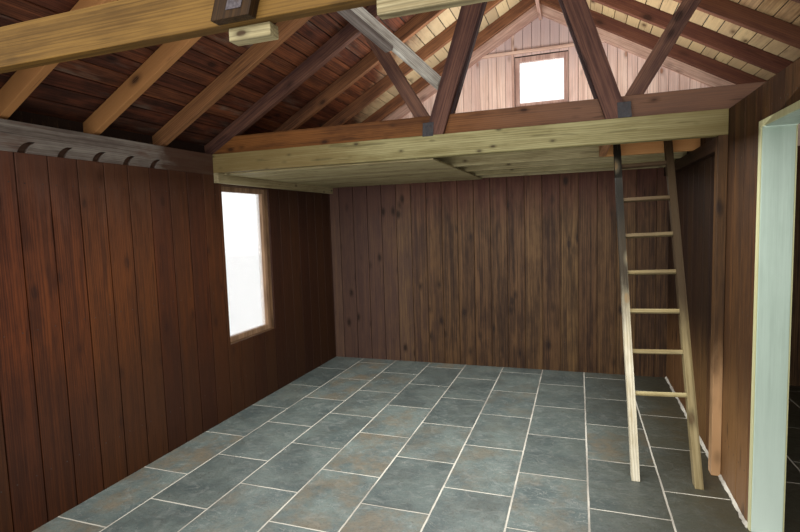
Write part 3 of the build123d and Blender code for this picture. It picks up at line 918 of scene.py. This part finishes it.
def felt_sheets():
    """Felt in sheets along the roof, each lapped over the one below, with a strip over the ridge."""
    name = "roof_felt"
    low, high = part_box(name)
    material = felt_finish()
    skin = solids(name)
    for vert in skin.verts:
        if vert.co.z > high.z - abs(vert.co.x) * tan(roof_slope) - felt_face:
            vert.co.z -= felt_drop
    piece(name + "_skin", marked(skin, 0.5, lambda place: 1.0), material, "felt", name)
    length = high.x / cos(roof_slope)
    for side, label in ((-1, "left"), (1, "right")):
        eave = Vector((side * high.x, low.y, high.z - high.x * tan(roof_slope)))
        up, out = slope(side)
        parts = []
        for number in range(felt_rows):
            start = number * length / felt_rows
            end = min(start + length / felt_rows + felt_lap, length)
            outline = [eave + up * at - out * depth for at, depth in (
                (start, 0.0003), (start, 0.0024), (end, 0.0025), (end, 0.0023))]
            sheet = prism(outline, Y * (high.y - low.y))
            parts.append(marked(sheet, Random(f"{label} {number}").random(),
                                lambda place: (place - eave).dot(up) - start))
        sheets = piece(f"{name}_{label}_sheets", merged(parts), material, "felt", name)
        nails_on(sheets, f"{name}_{label}_nails", 51 + side, eave + up * 0.03, Y, up, -out, 0.12,
                 length / felt_rows, felt_rows, 0.5, 0.005, "felt")
    drop = ridge_strip * sin(roof_slope)
    reach = ridge_strip * cos(roof_slope)
    outline = [Vector((x, low.y, high.z - z)) for x, z in (
        (-reach, drop + 0.0003), (0, 0.0), (reach, drop + 0.0003), (reach, drop + 0.0018), (0, 0.0018),
        (-reach, drop + 0.0018))]
    cap = marked(prism(outline, Y * (high.y - low.y)), 0.3, lambda place: reach - abs(place.x))
    piece(name + "_ridge_strip", cap, material, "felt", name)


def flag_group():
    """A column of slates along Y. Each is a slab with a riven top."""
    tree, given = new_group(
        "column of slates", ("Slates", "Seed"), ("Width", "Length", "Pitch", "Depth"))
    size = tree.vector(X=given["Width"], Y=given["Length"], Z=given["Depth"])
    slab = tree.node("GeometryNodeMeshCube", {"Size": size, "Vertices X": 9, "Vertices Y": 13})
    row = tree.copies(tree.line(given["Slates"], Y=given["Pitch"]), slab)
    tone = tree.chance(0.0, 1.0, given["Seed"])
    toned = tree.node("GeometryNodeStoreNamedAttribute", {
        "Geometry": row, "Name": "tone", "Value": tone}, data_type="FLOAT", domain="INSTANCE")
    lower = tree.chance(-0.0005, 0.0, given["Seed"] + 50)
    return close_group(tree, tree.moved(toned, Z=lower), given["Material"])


def floor():
    slate = slate_finish()
    group = flag_group()
    low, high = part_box("floor_slab")
    columns = []
    for number in range(flags_across):
        left = flag_corner[0] + number * flag_width
        start = flag_corner[1] + (number % 2) * flag_length / 2
        column = grown(group, Slates=flags_along, Width=flag_width - flag_joint,
                       Length=flag_length - flag_joint, Pitch=flag_length, Depth=flag_depth,
                       Seed=number, Material=slate)
        middle = Vector((left + flag_width / 2, start + flag_length / 2, high.z - flag_depth / 2))
        column.transform(Matrix.Translation(middle))
        columns.append(column)
    flags = merged(columns)
    edge = Vector((flag_margin, flag_margin, 0))
    for place, outward in ((low + edge, -X), (high - edge, X), (low + edge, -Y), (high - edge, Y)):
        cut_off(flags, place, outward)
    face_outwards(flags)
    for vert in flags.verts:
        if vert.co.z > high.z - flag_depth / 2:
            vert.co.z -= 0.0012 * (0.5 + 0.5 * noise.noise(vert.co / 0.11))
        shift = noise.noise_vector(vert.co / 0.06) * 0.0016
        shift.z = 0
        vert.co = hold(vert.co + shift)
    piece("slate_flags", flags, slate, "slate", "floor_slab")
    bed = solids("floor_slab")
    for vert in bed.verts:
        if vert.co.z > high.z - WELD:
            vert.co.z -= joint_depth
    piece("floor_bed", bed, grout, "slate", "floor_slab")


def by_the_gable(place):
    return place.y > gable_in - gable_band


def notched_plate(node):
    """The wall plate. Its notches, cut into the lower edge, are marked so that they come out darker."""
    low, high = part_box(node)
    skin, depth, rise = 0.004, 0.03, 0.075  # from the face to where they start and end, and up
    plate = dressed(solids(node), node, radius=0.0015, axis=Y)
    mark = plate.verts.layers.float.new("cut")
    for vert in plate.verts:
        hollow = high.x - depth < vert.co.x < high.x - skin and vert.co.z < low.z + rise
        vert[mark] = 0.9 if hollow else 0.0
    piece(node + "_timber", plate, plate_wood, "plate_wood", node)


def strut_plates():
    """Steel at the struts' feet: angle cleats in the loft truss, and a flat plate on a near strut."""
    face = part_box("loft_left_inner_strut")[0].y
    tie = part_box("loft_tie_beam")[0].y
    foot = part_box("loft_tie_beam")[0].z
    for side, lift, name in ((-1, -0.008, "left_strut_cleat"), (1, 0.0, "right_strut_cleat")):
        flat = [(0.574, 0.0), (0.650, 0.0), (0.645, 0.092), (0.568, 0.092)]
        edge = [(0.647, 0.0), (0.650, 0.0), (0.645, 0.092), (0.642, 0.092)]
        parts = []
        for outline, start, depth in ((flat, face - 0.003, 0.003), (edge, face, tie - face)):
            corners = [Vector((side * x, start, foot + z + lift)) for x, z in outline]
            parts.append(dressed(prism(corners, Y * depth), 41 + side, radius=0.0006, amount=0.0))
        for x, z in ((0.588, 0.024), (0.622, 0.022), (0.586, 0.068), (0.620, 0.070)):
            parts.append(bolt_head(Vector((side * x, face - 0.005, foot + z + lift)), 0.006, 0.004))
        piece(name, merged(parts), dark_steel, "truss_wood")
    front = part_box("near_inner_struts")[0].y
    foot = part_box("near_tie_beam")[0].z
    corners = [Vector((x, front, foot + z)) for x, z in (
        (-0.580, 0.022), (-0.530, 0.022), (-0.492, 0.130), (-0.542, 0.130))]
    plate = dressed(prism(corners, Y * 0.003), 43, radius=0.0004, amount=0.0)
    piece("near_strut_plate", plate, grey_steel, "truss_wood")


def floor_fillet():
    """A rough fillet of mortar along the foot of the partition, on both sides of the post."""
    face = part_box("partition_far")[0].x
    post_low, post_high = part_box("header_post")
    corners = [(0.0, 0.0), (0.0, 0.015), (-0.005, 0.011), (-0.012, 0.003), (-0.015, 0.0)]
    parts = []
    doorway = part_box("partition_far")[0].y
    for start, end in ((doorway + 0.004, post_low.y), (post_high.y, gable_in - 0.002)):
        outline = [Vector((face + x, start, floor_top + z)) for x, z in corners]
        shape = prism(outline, Y * (end - start))
        slice_across(shape, Y, 0.015)
        for vert in shape.verts:
            fine, coarse = (noise.noise_vector(vert.co / size) for size in (0.03, 0.12))
            moved = vert.co + fine * 0.005 + coarse * 0.007
            free = vert.co.x < face - 0.001
            vert.co.x = min(moved.x, face - 0.001) if free else face
            vert.co.z = max(moved.z, floor_top) if vert.co.z > floor_top + 0.001 else floor_top
        face_outwards(shape)
        parts.append(shape)
    piece("mortar_fillet", merged(parts), grout, "slate")


def loft_timbers():
    """The joists. The first one is orange where the hatch shows it."""
    low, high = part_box("hatch_trimmer")
    joists = solids("loft_joists")
    for x in (low.x + 0.01, high.x - 0.01):
        bisect(joists, (x, 0, 0), X)
    joists.faces.index_update()
    made = dressed(joists, "loft_joists", axis=X)
    mark = made.verts.layers.float.new("cut")
    for vert in made.verts:
        vert[mark] = 0.85 if vert.co.x > high.x - 0.015 and vert.co.y < high.y + 0.1 else 0.0
    piece("loft_joists_timber", made, new_pine, "new_pine", "loft_joists")


def timbers():
    whole("near_tie_beam", honey_pine, "honey_pine")
    struts = whole("near_inner_struts", strut_pine, "truss_wood")
    for vert in struts.data.vertices:
        if vert.co.y < near_end + 0.002:
            vert.co.y += 0.0025  # leaves the face to the steel plate
    whole("loft_tie_beam", orange_pine, "orange_pine")
    for node in ("near_chords", "near_outer_struts", "loft_left_chord", "loft_right_chord",
                 "loft_left_inner_strut", "loft_right_inner_strut", "loft_left_outer_strut",
                 "loft_right_outer_strut"):
        whole(node, truss_wood, "truss_wood")
    for node in ("near_second_struts", "loft_second_struts"):
        whole(node, backing_wood, "truss_wood")
    for node in ("left_rafters", "right_rafters"):
        whole(node, rafter_wood, "rafter_wood", chosen=lambda place: not by_the_gable(place))
        whole(node, gable_rafter_wood, "rafter_wood", label="gable_timber", chosen=by_the_gable)
    whole("ridge_board", gable_rafter_wood, "rafter_wood")
    loft_timbers()
    whole("hatch_trimmer", hatch_pine, "new_pine")
    whole("header_beam", header_pine, "new_pine")
    for node in ("left_ledger", "tie_batten", "tie_packer"):
        whole(node, new_pine, "new_pine")
    whole("header_post", post_wood, "partition_boards")
    whole("partition_ledger", partition_wood, "partition_boards")
    notched_plate("left_wall_plate")
    whole("right_wall_plate", plate_wood, "plate_wood")
    for node in ("gable_rail", "gable_stub"):
        whole(node, gable_rafter_wood, "rafter_wood", radius=0.002)
    whole("roof_brace", grey_wood, "grey_wood", amount=0.003)
    whole("brace_doubler", doubler_wood, "grey_wood", amount=0.002)
    for node, material in (("ladder_left_rail", ladder_wood), ("ladder_right_rail", dark_ladder_wood),
                           ("ladder_rungs", rung_wood)):
        whole(node, material, "ladder_wood", radius=0.008, amount=0.003, spacing=0.15)
    whole("door_lining", white_wood, "white_paint", axis=Z, amount=0.0)
    whole("door_trim", trim_wood, "white_paint", axis=Z, amount=0.0, radius=0.0015)
    for node in ("left_window_frame", "right_window_frame"):
        whole(node, window_wood, "window_wood", axis=Z, amount=0.0)
    whole("gable_window_frame", gable_rafter_wood, "window_wood", axis=Z, amount=0.0)


side_wall("left_wall", -1)
side_wall("right_wall", 1)
end_wall()
for name in ("partition_near", "partition_far", "partition_head"):
    partition(name)
roof_planks("left_roof_boards", -1, left_roof_wood)
roof_planks("right_roof_boards", 1, right_roof_wood)
boards_in("loft_deck", "boards", "new_pine", 9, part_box("loft_deck")[0], X, Y, Z, deck_board,
          deck_thickness, new_pine)
boards_in("soffit_boards", "planks", "new_pine", 11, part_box("soffit_boards")[0], Y, X, Z,
          soffit_plank, soffit_thickness, new_pine, radius=0.001)
felt_sheets()
floor()
timbers()
strut_plates()
floor_fillet()
for name in ("left_window_glass", "right_window_glass", "gable_window_glass"):
    whole(name, glass_finish(), "glass", label="pane", radius=0.001, amount=0.0, spacing=9.0)


# The stage

def stage():
    ground = bmesh.new()
    bmesh.ops.create_circle(ground, cap_ends=True, segments=64, radius=40)
    made = in_scene("stage_floor", as_mesh("stage_floor", ground))
    made.location.z = -0.002
    made.data.materials.append(stage_finish("pale floor", (214, 214, 212)))


def sky():
    """A white background, and less light from it on the object."""
    world = bpy.data.worlds.new("plain sky")
    bpy.context.scene.world = world
    world.use_nodes = True
    tree = Tree(world.node_tree)
    background = world.node_tree.nodes["Background"]
    background.inputs["Color"].default_value = (1, 1, 1, 1)
    rays = world.node_tree.nodes.new("ShaderNodeLightPath")
    looks, mirrored, through = (Wire(tree, rays.outputs[f"Is {name} Ray"])
                                for name in ("Camera", "Glossy", "Transmission"))
    shown = looks.maths("MAXIMUM", mirrored.maths("MAXIMUM", through))
    tree.join(background.inputs["Strength"], shown.step(0.0, 1.0, 0.9, 0.97))


def lamp(name, place, target, width, height, power, spread=180):
    """A soft panel of light that the camera doesn't see."""
    light = bpy.data.lights.new(name, "AREA")
    light.shape = "RECTANGLE"
    light.size, light.size_y = width, height
    light.energy = power
    light.spread = radians(spread)
    made = in_scene(name, light)
    made.location = place
    made.rotation_euler = (Vector(target) - Vector(place)).to_track_quat("-Z", "Y").to_euler()
    made.visible_camera = False


def camera():
    lens = bpy.data.cameras.new("camera")
    lens.sensor_width = 36
    lens.lens = 22.8825
    lens.clip_start = 0.05
    made = in_scene("camera", lens)
    made.location = (0.350, -3.4085, 1.630)
    made.rotation_euler = Euler([radians(angle) for angle in (85.1477, 1.7637, 19.2703)])
    bpy.context.scene.camera = made


stage()
sky()
lamp("front_panel", (-0.2, -4.6, 2.2), (-0.4, 1.0, 1.3), 5.0, 2.4, 46, 90)
lamp("room_panel", (-0.4, -0.6, 2.0), (-0.4, -0.5, 0.0), 2.6, 1.6, 60)
lamp("back_panel", (-0.4, 1.0, 1.95), (-0.4, 1.2, 0.0), 2.4, 1.2, 15)
lamp("loft_panel", (0.0, 0.7, 2.35), (0.0, 0.9, 3.4), 1.8, 1.0, 32)
lamp("roof_panel", (0.0, -1.2, 2.15), (0.0, -0.9, 3.4), 2.6, 1.2, 8)
lamp("bounce_panel", (-0.3, -0.9, 0.064), (-0.3, -0.9, 2.0), 3.2, 2.2, 13)
camera()

scene = bpy.context.scene
scene.view_settings.view_transform = "Standard"
